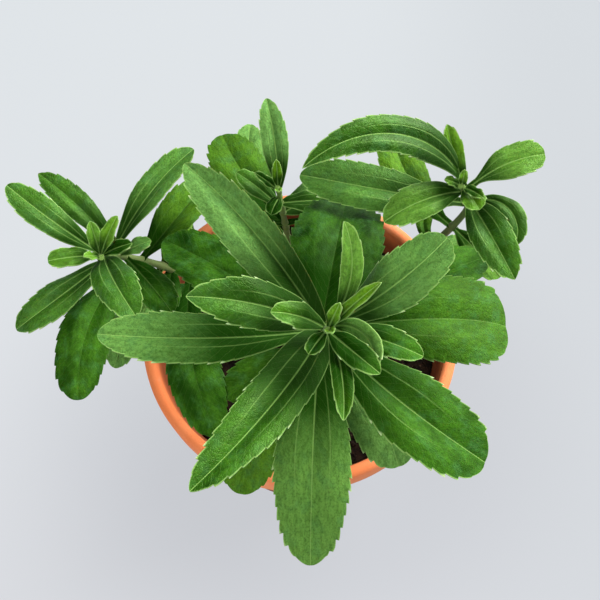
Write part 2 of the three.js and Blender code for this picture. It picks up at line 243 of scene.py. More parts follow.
# %% [markdown]
# ## The floor
#
# The pot stands on a pale, slightly cool surface with nothing on it. A flat sheet far larger than
# the view is enough.
#
# A white floor lit by the lamps alone is hard to keep even: when a lamp is turned up for the
# leaves, the floor burns out beneath it. So this one is nearly black and glows by itself, like a
# light table. It has no gloss either, or a low view towards the window would be all glare. Such a
# table takes hardly any shade, and the shade has to be painted on: the glow dims a little towards
# the viewer and to the right, and more round the pot.

# %% Floor
FLOOR_SIDE = 40.0
FLOOR_COLOUR = (0.05, 0.052, 0.055, 1)
FLOOR_GLOW = (0.88, 0.925, 0.96, 1)
FLOOR_GLOW_NEAR = (0.865, 0.885, 0.93, 1)
FLOOR_GLOW_RIGHT = (0.71, 0.75, 0.79, 1)
FLOOR_GLOW_SHADE = (0.60, 0.62, 0.67, 1)
NEAR_FADE = (0.22, -0.12)
RIGHT_FADE = (0.02, 0.14)
POT_FADE = (0.155, 0.06)

table = Finish("pale_table", 1.0, Specular_IOR_Level=0.0, Emission_Strength=0.75)
spot = table.object_place()
right, depth = (table.node("SeparateXYZ", {0: spot}, axis) for axis in range(2))
from_pot = table.node("VectorMath", {0: spot}, "Value", operation="LENGTH")
glow = table.mix(table.fade(depth, *NEAR_FADE), FLOOR_GLOW, FLOOR_GLOW_NEAR)
glow = table.mix(table.fade(right, *RIGHT_FADE, high=0.5), glow, FLOOR_GLOW_RIGHT)
glow = table.mix(table.fade(from_pot, *POT_FADE, high=0.5), glow, FLOOR_GLOW_SHADE)
floor_finish = table.done(Base_Color=FLOOR_COLOUR, Emission_Color=glow)

floor_bm = bmesh.new()
bmesh.ops.create_grid(floor_bm, x_segments=1, y_segments=1, size=FLOOR_SIDE / 2)
floor_mesh = bpy.data.meshes.new("floor")
floor_bm.to_mesh(floor_mesh)
floor_bm.free()
floor_mesh.materials.append(floor_finish)
floor = bpy.data.objects.new("floor", floor_mesh)
bpy.context.collection.objects.link(floor)
print("floor side in m:", FLOOR_SIDE)

# %% [markdown]
# ## Terracotta
#
# Terracotta is low-fired clay, left unglazed. It is matte and a little porous: its orange is
# cloudy rather than even, the wheel or press leaves faint rings round it, fine pits catch the
# light, and salts from the water dry to a pale bloom on the collar. One orange alone would look
# like plastic, so cloudiness, rings, pits and bloom are each a layer of their own, all of them
# Inside, the wall is darkened from the soil up nearly to the lip, as painted shade in the pot.

# %% Terracotta finish
CLAY = (0.86, 0.225, 0.070, 1)
CLAY_LIGHT = (0.91, 0.30, 0.12, 1)
CLAY_DARK = (0.70, 0.15, 0.045, 1)
BLOOM = (0.92, 0.60, 0.44, 1)
INNER_WALL_SHADE = (0.17, 0.036, 0.010, 1)
BLOOM_FADE = (88, 104)
INNER_FADE = (55.6, 54.6)
INNER_SHADE_FADE = (106, 98)
CLOUD_LIFT = 6


def terracotta():
    clay = Finish("terracotta", 0.86, Specular_IOR_Level=0.3)
    place = clay.object_place()
    x, y, z = (clay.node("SeparateXYZ", {0: place}, axis) for axis in range(3))
    clouds = clay.grain(place, 22, detail=4)
    rings = clay.grain(place, 30, detail=3, stretch=(0.4, 0.4, 26))
    grit = clay.grain(place, 1500, detail=2)
    pits = clay.cells(place, 420, feature="F1")
    colour = clay.mix(clay.fade(clouds, 0.35, 0.7), CLAY, CLAY_LIGHT)
    colour = clay.mix(clay.fade(rings, 0.5, 0.75, high=0.30), colour, CLAY_DARK)
    colour = clay.mix(clay.fade(grit, 0.55, 0.8, high=0.35), colour, CLAY_DARK)
    high_up = clay.fade(z, *(height * MM for height in BLOOM_FADE))
    salts = clay.sum("MULTIPLY", clay.fade(clay.grain(place, 60, detail=5), 0.55, 0.72), high_up)
    colour = clay.mix(clay.sum("MULTIPLY", salts, 0.25), colour, BLOOM)
    # Painted shade: the inside wall is darkened from the soil up nearly to the lip.
    radius = clay.sum("SQRT", clay.sum("MULTIPLY_ADD", x, x, clay.sum("MULTIPLY", y, y)))
    inside = clay.fade(radius, *(r * MM for r in INNER_FADE))
    level = clay.sum("MULTIPLY_ADD", clouds, CLOUD_LIFT * MM, z)
    near_soil = clay.fade(level, *(height * MM for height in INNER_SHADE_FADE))
    inner_shade = clay.sum("MULTIPLY", inside, near_soil)
    colour = clay.mix(clay.sum("MULTIPLY", inner_shade, 0.85), colour, INNER_WALL_SHADE)
    bumps = clay.relief(rings, 0.25, 0.6)
    bumps = clay.relief(clay.fade(pits, 0.0, 0.28), 0.12, 0.5, under=bumps)
    bumps = clay.relief(grit, 0.08, 0.5, under=bumps)
    return clay.done(Base_Color=colour, Normal=bumps)


CLAY_FINISH = terracotta()

# %% [markdown]
# ## The pot
#
# A clay pot is turned or pressed: a tapered body, a taller collar that overhangs it, and a rounded
# lip. It could be modelled from a cylinder by scaling loops, but its real maker works from a
# profile, and so does this cell: a few corners are joined by edges, the corners are rounded by a
# bevel on the points, and the line is spun once round the axis. Three drain holes are then bored
# through the floor.

# %% Spin the pot
RIM_RADIUS = 60
POT_HEIGHT = 105
COLLAR_FOOT = (58.6, 89)
COLLAR_TOP = (RIM_RADIUS, 101)
LIP_INNER_RADIUS = 55.3
BASE_RADIUS = 36
BODY_TOP = (54.5, 87.5)
FLOOR_THICKNESS = 8
INNER_BASE_RADIUS = 31.5
INNER_SHOULDER = (50, 84)
INNER_RIM = (55.4, 101.4)
ROUNDINGS = ((1, 1.5, 4), (2, 0.8, 3), (3, 1.1, 4), (5, 2.3, 7), (6, 2.2, 7), (8, 6, 4), (9, 4, 4))
SPIN_STEPS = 144
DRAIN_COUNT = 3
DRAIN_RADIUS = 4
DRAIN_RING = 18
DRAIN_SIDES = 32


def wire(bm, points):
    """Joins points, as (radius, height) in mm, by edges and returns them as vertices."""
    verts = [bm.verts.new((radius * MM, 0, height * MM)) for radius, height in points]
    for first, second in zip(verts, verts[1:]):
        bm.edges.new((first, second))
    return verts


def soften(bm, vert, radius_mm, segments):
    """Rounds one corner of a wire."""
    bmesh.ops.bevel(bm, geom=[vert], offset=radius_mm * MM, segments=segments, profile=0.5,
                    affect="VERTICES", material=-1)


def spin(bm, steps):
    """Spins the wire once round Z and closes the body, facing out."""
    bmesh.ops.spin(bm, geom=bm.verts[:] + bm.edges[:], axis=(0, 0, 1), cent=(0, 0, 0),
                   angle=2 * math.pi, steps=steps, use_merge=True)
    bmesh.ops.remove_doubles(bm, verts=bm.verts[:], dist=0.01 * MM)
    bmesh.ops.recalc_face_normals(bm, faces=bm.faces[:])


def pot_body():
    """The pot's profile, spun. Each rounding is a corner's number, a radius and its steps."""
    bm = bmesh.new()
    corners = wire(bm, [
        (0, 0), (BASE_RADIUS, 0), BODY_TOP, COLLAR_FOOT, COLLAR_TOP, (RIM_RADIUS, POT_HEIGHT),
        (LIP_INNER_RADIUS, POT_HEIGHT), INNER_RIM, INNER_SHOULDER,
        (INNER_BASE_RADIUS, FLOOR_THICKNESS), (0, FLOOR_THICKNESS),
    ])
    for index, radius, segments in ROUNDINGS:
        soften(bm, corners[index], radius, segments)
    spin(bm, SPIN_STEPS)
    return bm


def drill_drains(piece):
    """Bores the drain holes and keeps the result as the piece's own mesh."""
    drills = bmesh.new()
    for i in range(DRAIN_COUNT):
        angle = 2 * math.pi * i / DRAIN_COUNT + math.pi / 2
        spot = Vector((math.cos(angle), math.sin(angle), 0)) * DRAIN_RING * MM
        bmesh.ops.create_cone(drills, cap_ends=True, segments=DRAIN_SIDES,
                              radius1=DRAIN_RADIUS * MM, radius2=DRAIN_RADIUS * MM,
                              depth=4 * FLOOR_THICKNESS * MM, matrix=Matrix.Translation(spot))
    mesh = bpy.data.meshes.new("drills")
    drills.to_mesh(mesh)
    drills.free()
    tool = bpy.data.objects.new("drills", mesh)
    bpy.context.collection.objects.link(tool)
    cut = piece.modifiers.new("drains", "BOOLEAN")
    cut.object = tool
    cut.solver = "EXACT"
    view = bpy.context.evaluated_depsgraph_get()
    bored = bpy.data.meshes.new_from_object(piece.evaluated_get(view))
    piece.modifiers.clear()
    piece.data = bored
    bpy.data.objects.remove(tool)
    print("pot faces with its drains:", len(bored.polygons))


terracotta_pot = show(pot_body(), "terracotta_pot", CLAY_FINISH, "terracotta", "pot")
drill_drains(terracotta_pot)

# %% [markdown]
# ## Potting soil
#
# Potting soil is a dark, crumbly mix. From a step away it reads as a lumpy surface with loose
# crumbs on it, from fine grit to pieces of bark. A bump alone would leave it flat where it meets
# the pot and the stems, so the surface is raised in the mesh, by the same gentle heap and lumps as
# the plain model and by finer noise on top, and crumbs are strewn over it.

# %% Soil finish
SOIL_DARK = (0.004, 0.002, 0.0012, 1)
SOIL_BROWN = (0.022, 0.010, 0.005, 1)
SOIL_PALE = (0.09, 0.055, 0.032, 1)


def potting_soil():
    soil = Finish("potting_soil", 0.95, Specular_IOR_Level=0.15)
    place = soil.object_place()
    lumps = soil.grain(place, 260, detail=5)
    specks = soil.cells(place, 700, feature="F1")
    colour = soil.mix(soil.fade(lumps, 0.38, 0.68), SOIL_DARK, SOIL_BROWN)
    bright = soil.fade(soil.grain(place, 900, detail=1), 0.66, 0.74)
    colour = soil.mix(soil.sum("MULTIPLY", bright, 0.6), colour, SOIL_PALE)
    bumps = soil.relief(lumps, 1.0, 0.9)
    bumps = soil.relief(soil.fade(specks, 0.0, 0.5), 0.3, 0.6, under=bumps)
    return soil.done(Base_Color=colour, Normal=bumps)


SOIL_FINISH = potting_soil()

# %% Soil surface
SOIL_LEVEL = 91.5
SOIL_HEAP = 1.2
SOIL_LUMP = 0.8
SOIL_ROUGH = 1.1
WALL_GAP = 0.45
FLOOR_GAP = 0.3
SOIL_RINGS = 46
SOIL_TURNS = 120


def inner_radius(height):
    """The pot's inner wall at a height, in mm."""
    low, high = (INNER_BASE_RADIUS, FLOOR_THICKNESS), INNER_SHOULDER
    if height > INNER_SHOULDER[1]:
        low, high = INNER_SHOULDER, INNER_RIM
    share = (height - low[1]) / (high[1] - low[1])
    return low[0] + (high[0] - low[0]) * share


def soil_height(x, y):
    """The soil's surface over a point, in mm."""
    heap = math.cos(math.pi * math.hypot(x, y) / (2 * INNER_RIM[0]))
    wide = math.sin(0.21 * x + 1.1) * math.cos(0.27 * y)
    fine = 0.6 * math.sin(0.5 * x - 0.41 * y)
    rough = noise.fractal(Vector((x, y, 0)) * 0.28, 0.7, 2.1, 4)
    return SOIL_LEVEL + SOIL_HEAP * heap + SOIL_LUMP * (wide + fine) + SOIL_ROUGH * rough


def soil_body():
    """The soil as one closed body, its top raised to its lumps."""
    bm = bmesh.new()
    bottom = FLOOR_THICKNESS + FLOOR_GAP
    rise = [(inner_radius(z) - WALL_GAP, z) for z in (bottom, INNER_SHOULDER[1], SOIL_LEVEL)]
    edge = rise[-1][0]
    top = [(edge * i / SOIL_RINGS, SOIL_LEVEL) for i in range(SOIL_RINGS - 1, -1, -1)]
    wire(bm, [(0, bottom)] + rise + top)
    spin(bm, SOIL_TURNS)
    for vert in bm.verts:
        x, y, z = vert.co / MM
        if z > SOIL_LEVEL - 0.1:
            vert.co.z = soil_height(x, y) * MM
    return bm


show(soil_body(), "potting_soil", SOIL_FINISH, "soil", "soil")
print("soil's height at the middle in mm:", round(soil_height(0, 0), 1))

# %% Crumbs
CRUMB_SEED = 11
CRUMB_COUNT = 900
CRUMB_SIZES_MM = (0.35, 1.7)
CRUMB_REACH = 51.5
CRUMB_WARP = 0.22
BARK_COUNT = 60
BARK_SIZES_MM = ((2.5, 6), (0.8, 2), (0.4, 0.9))
BARK_LIFT = 0.5


def strew(bm, draw, make, lift):
    """Sets one small shape somewhere on the soil, turned at random. lift is its half height."""
    radius = CRUMB_REACH * math.sqrt(draw.random())
    angle = draw.uniform(0, 2 * math.pi)
    x, y = radius * math.cos(angle), radius * math.sin(angle)
    spot = Matrix.Translation(Vector((x, y, soil_height(x, y) + lift)) * MM)
    turn = Matrix.Rotation(draw.uniform(0, 2 * math.pi), 4, "Z")
    make(bm, spot @ turn @ Matrix.Rotation(draw.uniform(-0.5, 0.5), 4, "X"))


def crumbs():
    """Loose crumbs and chips of bark. Vector noise starts from the clock unless it is seeded."""
    draw = random.Random(CRUMB_SEED)
    noise.seed_set(CRUMB_SEED)
    bm = bmesh.new()
    for _ in range(CRUMB_COUNT):
        low, high = CRUMB_SIZES_MM
        size = low + (high - low) * draw.random() ** 2.5
        shape = [size * draw.uniform(0.7, 1.2) * MM for _ in range(3)]
        strew(bm, draw, lambda bm, at: bmesh.ops.create_icosphere(
            bm, subdivisions=1, radius=1, matrix=at @ Matrix.Diagonal((*shape, 1))), 0.2 * size)
    for _ in range(BARK_COUNT):
        shape = [draw.uniform(*sizes) * MM for sizes in BARK_SIZES_MM]
        strew(bm, draw, lambda bm, at: bmesh.ops.create_cube(
            bm, size=1, matrix=at @ Matrix.Diagonal((*shape, 1))), BARK_LIFT)
    for vert in bm.verts:
        vert.co += noise.noise_vector(vert.co / MM * 0.9) * CRUMB_WARP * MM
    return bm


show(crumbs(), "soil_crumbs", SOIL_FINISH, "soil")

# %% [markdown]
# ## The plant's plan
#
# The plan is the same as the plain model's. Each stem is one smooth curve of four control points,
# from the buried end to the growing tip. Each leaf is a line of a short table: its place along the
# stem, the way it heads, its length and width in mm, how steeply it rises, how much of that it
# loses by its tip, and what is special about it. Leaves low on the stem are broad and old, and
# those at the tip are small and young.
#
# What is special may be a leaf's form, such as its fold into a V, its roll about its own rib or a
# skew that makes its left half the wider one. Or it is something that only these finer leaves
# have. Fall turns the borders down, and even is the share of that fall on the right half, where a
# number below 0 turns it up. Tone makes the leaf darker or paler: leaves that lie under others are
# mostly given dark tones and leaves in the light pale ones, as painted shade and painted light.
# Shade is the share of its length by which the painted deep green of its base has faded out, as
# painted shade towards the middle of the plant, and dull gives it the finish of the shaded leaves.

# %% Stems and leaves
LEAFY_STEMS = {
    "stem_centre": (
        [(6, -4, 70), (6, -14, 130), (6, -34, 195), (7, -62, 255)],
        [
            (0.23, 112, 30, 10, 24, 50, {}),
            (0.23, 290, 30, 10, 20, 50, {}),
            (0.34, 208, 38, 16, 10, 34, {"tone": 0.3}),
            (0.34, 11, 40, 15, 20, 50, {}),
            (0.44, 228, 60, 21, 10, 48, {"bend": 32, "blunt": 0.5, "tone": 0.55}),
            (0.44, 27, 68, 20, 20, 40, {"blunt": 0.7, "tone": 0.1}),
            (0.54, 311, 52, 20, 9, 62,
             {"bend": -18, "roll": 6, "blunt": 0.5, "swell": 1, "tone": 1, "shade": 0.45}),
            (0.54, 146, 64, 20, 16, 40, {"tone": 0}),
            (0.65, 265, 73, 22.5, 6, 52,
             {"bend": 5, "fold": 8, "widest": 0.58, "tone": 0.9, "shade": 0.62}),
            (0.65, 80, 55, 29, 8, 50, {"fold": 8, "widest": 0.6, "blunt": 0.45, "tone": 0}),
            (0.72, 198, 66.5, 16.5, 21, 23,
             {"bend": -24, "roll": 5, "blunt": 0.5, "tone": 0.93, "shade": 0.9, "dull": 1}),
            (0.72, 4, 61, 27, 13, 60,
             {"bend": 4, "roll": 6, "fold": 8, "widest": 0.7, "blunt": 0.4, "tone": 0.64,
              "dull": 1}),
            (0.8, 129.5, 62, 15.4, 38, 41,
             {"bend": 8, "fold": 26, "roll": -12, "skew": 0.24, "fall": 0.8, "even": -1.3,
              "widest": 0.5, "blunt": 0.62, "swell": 0.4, "tone": 0.96}),
            (0.8, 306, 61, 22, 8, 44,
             {"bend": 32, "widest": 0.66, "blunt": 0.45, "tone": 0.75, "dull": 1}),
            (0.855, 10, 43, 15, 39, 26,
             {"bend": 36, "fold": 14, "roll": 8, "blunt": 0.4, "swell": 1.4, "ripple": 1,
              "tone": 0.9}),
            (0.855, 251, 67, 16.5, 34, 36,
             {"bend": -27, "fold": 28, "widest": 0.42, "blunt": 0.6, "swell": 0.55, "shade": 0.75}),
            (0.905, 181, 43, 13, 52, 49,
             {"fold": 14, "roll": -20, "widest": 0.56, "blunt": 0.75, "ripple": 1.2, "tone": 0.4,
              "shade": 0.85}),
            (0.905, 337, 29, 8.5, 34, 50, {"fold": 14, "tone": 0.2, "shade": 0.75, "dull": 1}),
            (0.925, 5, 24, 6.5, 40, 60,
             {"bend": -110, "roll": 45, "widest": 0.6, "tone": 1, "shade": 0.35}),
            (0.945, 32, 32, 6, 54, 18,
             {"bend": 88, "fold": 20, "roll": 6, "swell": 1.6, "tone": 0.95}),
            (0.945, 290, 31, 5.8, 30, 24,
             {"bend": -25, "fold": 20, "widest": 0.58, "tone": 0.3, "shade": 1.1, "dull": 1}),
            (0.965, 165, 17, 7.5, 45, 34,
             {"bend": 20, "fold": 20, "widest": 0.52, "tone": 0.2, "shade": 0.85}),
            (0.965, 304, 20.5, 7.5, 32, 39,
             {"bend": 17, "fold": 16, "widest": 0.52, "tone": 0, "shade": 1.1, "dull": 1}),
            (0.98, 26, 21, 4, 55, 20, {"fold": 30, "widest": 0.5, "tone": 0.7}),
            (0.98, 235, 8.6, 4.6, 20, 40, {"fold": 20, "tone": 0, "shade": 1, "dull": 1}),
            (0.99, 55, 9, 3.6, 60, 10, {"fold": 20, "widest": 0.5, "tone": 0.9}),
            (0.99, 290, 6.5, 3, 66, 10, {"fold": 20, "widest": 0.45, "tone": 0.6}),
        ],
    ),
    "stem_left": (
        [(-10, 4, 70), (-26, 18, 130), (-72, 8, 160), (-62, -12, 194)],
        [
            (0.3, 190, 24, 10, 20, 40, {}),
            (0.3, 20, 22, 9, 20, 40, {}),
            (0.42, 264, 62, 19, 10, 38, {"bend": 34, "tone": 0.1}),
            (0.42, 108, 30, 13, 14, 40, {}),
            (0.5, 100, 12, 5.5, 76, 12, {"widest": 0.5}),
            (0.5, 266, 17, 9, 15, 40, {"swell": 0.6, "tone": 0}),
            (0.54, 244, 41, 13, 4, 50, {"tone": 1, "shade": 0.4}),
            (0.54, 72, 26, 10, 14, 40, {}),
            (0.63, 233, 62, 17, 34, 60,
             {"bend": 40, "roll": -8, "widest": 0.66, "blunt": 0.45, "swell": 2.8, "tone": 0.2}),
            (0.63, 44, 35, 16, 28, 40,
             {"bend": 13, "fold": 30, "blunt": 0.7, "swell": 1.0, "tone": 0.65}),
            (0.72, 133, 41.5, 10, 25, 28,
             {"bend": 10, "fold": 16, "blunt": 0.75, "tone": 0.2}),
            (0.72, 311, 26.5, 12, 12, 50, {"tone": 0, "dull": 1, "shade": 0.8}),
            (0.76, 16, 13, 5.5, 35, 30, {"tone": 0.9}),
            (0.8, 56, 45, 11.3, 35, 36, {"bend": -13, "fold": 28, "tone": 0.85}),
            (0.8, 239, 42, 11.5, 25, 56, {"bend": -32, "fold": 14, "widest": 0.66, "tone": 0.8}),
            (0.88, 156, 38, 10.5, 27, 14, {"bend": -14, "fold": 14, "blunt": 0.5}),
            (0.88, 286, 37, 13.5, 48, 53,
             {"bend": 19, "fold": 14, "widest": 0.56, "blunt": 0.5, "tone": 0.78}),
            (0.93, 192, 17, 7, 24, 30, {"fold": 16, "blunt": 0.4, "tone": 0.8}),
            (0.93, 10, 12, 5, 40, 30, {"fold": 20, "tone": 0, "shade": 1.3, "dull": 1}),
            (0.95, 108, 12.5, 5, 60, 20, {"fold": 24, "widest": 0.5, "tone": 0.9}),
            (0.97, 55, 15.5, 5, 58, 30, {"fold": 24, "widest": 0.5, "tone": 0.9}),
            (0.985, 213, 8, 3.5, 60, 20, {"fold": 20, "widest": 0.45, "tone": 1}),
        ],
    ),
    "stem_right": (
        [(16, 6, 70), (53, 36, 130), (64, 15, 170), (50, 8, 204)],
        [
            (0.3, 20, 26, 11, 20, 40, {}),
            (0.3, 200, 30, 12, 20, 40, {}),
            (0.42, 150, 16, 6, 30, 30, {"bend": -110, "tone": 0.6}),
            (0.55, 146, 46, 15.5, 16, 40, {"bend": -60, "blunt": 0.5, "tone": 0.75}),
            (0.55, 310, 25, 12, 6, 30, {}),
            (0.8, 185, 58, 16, 20, 40, {"bend": -28, "fold": 16, "roll": -10, "tone": 0.85}),
            (0.8, 16, 27, 7.5, 24, 66, {"bend": -128, "widest": 0.55, "swell": 2}),
            (0.88, 155, 77, 12, 72, 97,
             {"bend": 63, "roll": -18, "widest": 0.5, "blunt": 0.8, "swell": 1.7}),
            (0.88, 284, 36, 14, 28, 43,
             {"bend": 12, "fold": 24, "roll": 15, "widest": 0.53, "blunt": 0.7}),
            (0.94, 37, 28, 11.8, 25, 27,
             {"bend": -32, "fold": 14, "widest": 0.66, "blunt": 0.4, "swell": 1.8, "tone": 0.9}),
            (0.94, 200, 30.5, 12, 27, 49,
             {"bend": 12, "fold": 16, "roll": -9, "widest": 0.55, "tone": 0.9}),
            (0.965, 118, 21.5, 7, 47, 13,
             {"bend": -12, "fold": 28, "widest": 0.55, "blunt": 0.7, "tone": 0.8}),
            (0.965, 296, 10, 8, 30, 40, {"fold": 18, "widest": 0.55}),
            (0.98, 316, 9, 4, 40, 40, {"fold": 18, "widest": 0.5, "shade": 1.2, "dull": 1}),
            (0.98, 168, 7, 3.5, 45, 40, {"fold": 18, "widest": 0.5, "shade": 1}),
            (0.99, 80, 6, 3, 66, 20, {"fold": 20, "widest": 0.45}),
        ],
    ),
    "stem_back": (
        [(-4, 34, 70), (-3, 37, 98), (-6, 38, 125), (-8, 36, 153)],
        [
            (0.35, 20, 28, 12, 36, 30, {}),
            (0.35, 200, 30, 12, 24, 40, {}),
            (0.5, 132, 54, 12.5, 27, 52, {"bend": -50, "swell": 1.8, "tone": 1}),
            (0.6, 140, 47, 20, 28, 48, {"bend": -32, "tone": 0.5}),
            (0.64, 184, 25, 12, 16, 30, {"swell": 2.3}),
            (0.64, 6, 26, 12, 16, 40, {"swell": 2.3}),
            (0.78, 145, 22, 8, 30, 30, {"fold": 14, "shade": 0.85}),
            (0.74, 30, 25, 14, 10, 26, {"swell": 0.6, "tone": 1}),
            (0.84, 0, 21, 9, 14, 26, {"swell": 0.5}),
            (0.9, 93, 36, 10, 42, 20, {"bend": 12, "fold": 18, "widest": 0.56, "tone": 1}),
            (0.9, 250, 10, 6, 40, 60, {"fold": 16, "tone": 0, "shade": 1.6, "dull": 1}),
            (0.96, 160, 12, 4, 50, 20,
             {"fold": 24, "widest": 0.5, "tone": 0, "shade": 1.5, "dull": 1}),
            (0.98, 95, 12, 4, 66, 14,
             {"fold": 24, "widest": 0.5, "tone": 0.6, "shade": 0.7, "dull": 1}),
            (0.98, 275, 5, 3, 60, 20, {"fold": 20, "widest": 0.5}),
        ],
    ),
}
LEAF_DEFAULTS = {
    "bend": 0, "fold": 12, "roll": 0, "widest": 0.62, "blunt": 0.58, "swell": 1.1, "ripple": 0.5,
    "skew": 0, "fall": 0.5, "even": 1, "shade": 0.6, "dull": 0,
}
LEAF_COLUMNS = ("at", "heading", "length", "width", "rise", "droop")


def read_leaf(row):
    """One line of the table as named values."""
    return {**LEAF_DEFAULTS, **dict(zip(LEAF_COLUMNS, row)), **row[-1]}


print("leaves on each stem:", {name: len(rows) for name, (_, rows) in LEAFY_STEMS.items()})

# %% [markdown]
# ## Stem finish
#
# A stevia stem is green and downy when young, and turns straw brown and ribbed lower down. The
# mesh will carry two numbers for this, how far up the stem a point is and where it lies round it,
# so that fine ribs can run along the stem however it curves.

# %% Stem finish
STEM_WOOD = (0.17, 0.115, 0.05, 1)
STEM_GREEN = (0.13, 0.19, 0.05, 1)
STEM_YOUNG = (0.15, 0.28, 0.045, 1)


def stem_skin():
    skin = Finish("stem", 0.55, Specular_IOR_Level=0.3, Sheen_Weight=0.06, Sheen_Roughness=0.5)
    age, along = skin.read("up"), skin.read("along")
    place = skin.place(skin.read("ring_x"), skin.read("ring_y"), skin.sum("MULTIPLY", along, 0.12))
    ribs = skin.grain(place, 4.5, detail=3)
    colour = skin.mix(skin.fade(age, 0.2, 0.6), STEM_WOOD, STEM_GREEN)
    colour = skin.mix(skin.fade(age, 0.7, 1.0), colour, STEM_YOUNG)
    colour = skin.mix(skin.fade(ribs, 0.5, 0.75, high=0.45), colour, STEM_WOOD)
    return skin.done(Base_Color=colour, Normal=skin.relief(ribs, 0.2, 0.8))


STEM_FINISH = stem_skin()

# %% [markdown]
# ## Stems
#
# A tube along a curve could be a curve object with a bevel. But a real stem swells a little at
# each pair of leaves, so here a circle is extruded upwards, ring by ring, into a straight tube,
# and each ring is then carried to its place on the stem's curve, with its own radius.

# %% Stem curve
STEM_BASE_RADIUS = 1.8
STEM_TIP_RADIUS = 0.8
STEM_SIDES = 16
STEM_STEPS = 96
NODE_SWELL = 0.3
NODE_REACH = 0.014
LENGTH_STEPS = 20


def stem_point(line, t):
    """A point on the stem's curve, in mm, and the way the stem runs there."""
    a, b, c, d = (Vector(point) for point in line)
    u = 1 - t
    point = a * u**3 + b * (3 * u * u * t) + c * (3 * u * t * t) + d * t**3
    way = (b - a) * (u * u) + (c - b) * (2 * u * t) + (d - c) * (t * t)
    return point, way.normalized()


def stem_radius(t, nodes):
    """The stem's radius at t, with a soft swelling at each node."""
    plain = STEM_BASE_RADIUS + (STEM_TIP_RADIUS - STEM_BASE_RADIUS) * t
    swell = max(math.exp(-(((t - node) / NODE_REACH) ** 2)) for node in nodes)
    return plain * (1 + NODE_SWELL * swell)


def tube(bm, sides, steps):
    """A straight closed tube of unit radius, with one ring of points at each whole height."""
    first = bmesh.ops.create_circle(bm, cap_ends=True, segments=sides, radius=1)["verts"]
    edges = list(dict.fromkeys(edge for vert in first for edge in vert.link_edges))
    for _ in range(steps):
        grown = bmesh.ops.extrude_edge_only(bm, edges=edges)["geom"]
        verts = [item for item in grown if isinstance(item, bmesh.types.BMVert)]
        bmesh.ops.translate(bm, verts=verts, vec=(0, 0, 1))
        edges = [item for item in grown if isinstance(item, bmesh.types.BMEdge)]
    bmesh.ops.holes_fill(bm, edges=edges, sides=sides)
    bmesh.ops.recalc_face_normals(bm, faces=bm.faces[:])


def stem_length(line):
    """The length of the stem's curve, in mm."""
    points = [stem_point(line, i / LENGTH_STEPS)[0] for i in range(LENGTH_STEPS + 1)]
    return sum((first - second).length for first, second in zip(points, points[1:]))


def stem_body(line, nodes):
    """A tube carried to the stem's curve, with the numbers that its finish reads."""
    bm = bmesh.new()
    layers = {key: bm.verts.layers.float.new(key) for key in ("up", "along", "ring_x", "ring_y")}
    tube(bm, STEM_SIDES, STEM_STEPS)
    length = stem_length(line)
    for vert in bm.verts:
        x, y, ring = vert.co
        t = ring / STEM_STEPS
        centre, way = stem_point(line, t)
        side = (Vector((1, 0, 0)) - way * way.x).normalized()
        across = way.cross(side)
        vert.co = (centre + (side * x + across * y) * stem_radius(t, nodes)) * MM
        for key, value in zip(layers, (t, t * length, x, y)):
            vert[layers[key]] = value
    return bm


for name, (line, rows) in LEAFY_STEMS.items():
    show(stem_body(line, sorted({row[0] for row in rows})), name + "_stalk", STEM_FINISH, "leaf")

# %% [markdown]
# ## Leaf finish
#
# A stevia leaf has three pale nerves that run up from its stalk, a finer net between them that
# makes the blade slightly quilted, a thin pale margin with a dot at each tooth, and a soft sheen.
# A flat pattern laid over all the leaves could not follow them. So each point of a blade carries
# its own distances in mm: along the leaf, across it, to the side nerve and to the margin. The
# finish draws its lines from those, and they stay fine on small leaves and large ones alike.
#
# No two leaves are quite the same green. Each carries its age, which is its place up the stem,
# and a tone of its own from 0, dark, to 1, pale. The tones listed in the table are mostly painted
# shade where dark and painted light where pale; the others are drawn at random. Young leaves are
# fresh and their lines crisp. On old ones the lines fade, unless the leaf is pale. Towards its
# stem every leaf is painted over into a deep green, duller than the rest, in which the lines are
# softer: this is painted shade for the hollows in the middle of the plant. How strongly a surface
# shines is one number for a whole finish, so the recipe is used twice: glossy for the leaves that
# see the window, and dull for those in the shade of others.

# %% Leaf finish
# LEAF_DEEP is the dark of the leaf's own mottling, and also the painted shade at each leaf's base.
LEAF_DEEP = (0.004, 0.032, 0.0, 1)
LEAF_GREEN = (0.053, 0.175, 0.011, 1)
LEAF_OLD = (0.115, 0.265, 0.018, 1)
LEAF_PALE = (0.170, 0.370, 0.090, 1)
LEAF_COOL = (0.065, 0.200, 0.060, 1)
LEAF_YOUNG = (0.132, 0.310, 0.008, 1)
LEAF_UNDER = (0.13, 0.28, 0.05, 1)
NERVE_PALE = (0.27, 0.46, 0.12, 1)
MARGIN_PALE = (0.30, 0.50, 0.14, 1)
TOOTH_PALE = (0.50, 0.66, 0.32, 1)


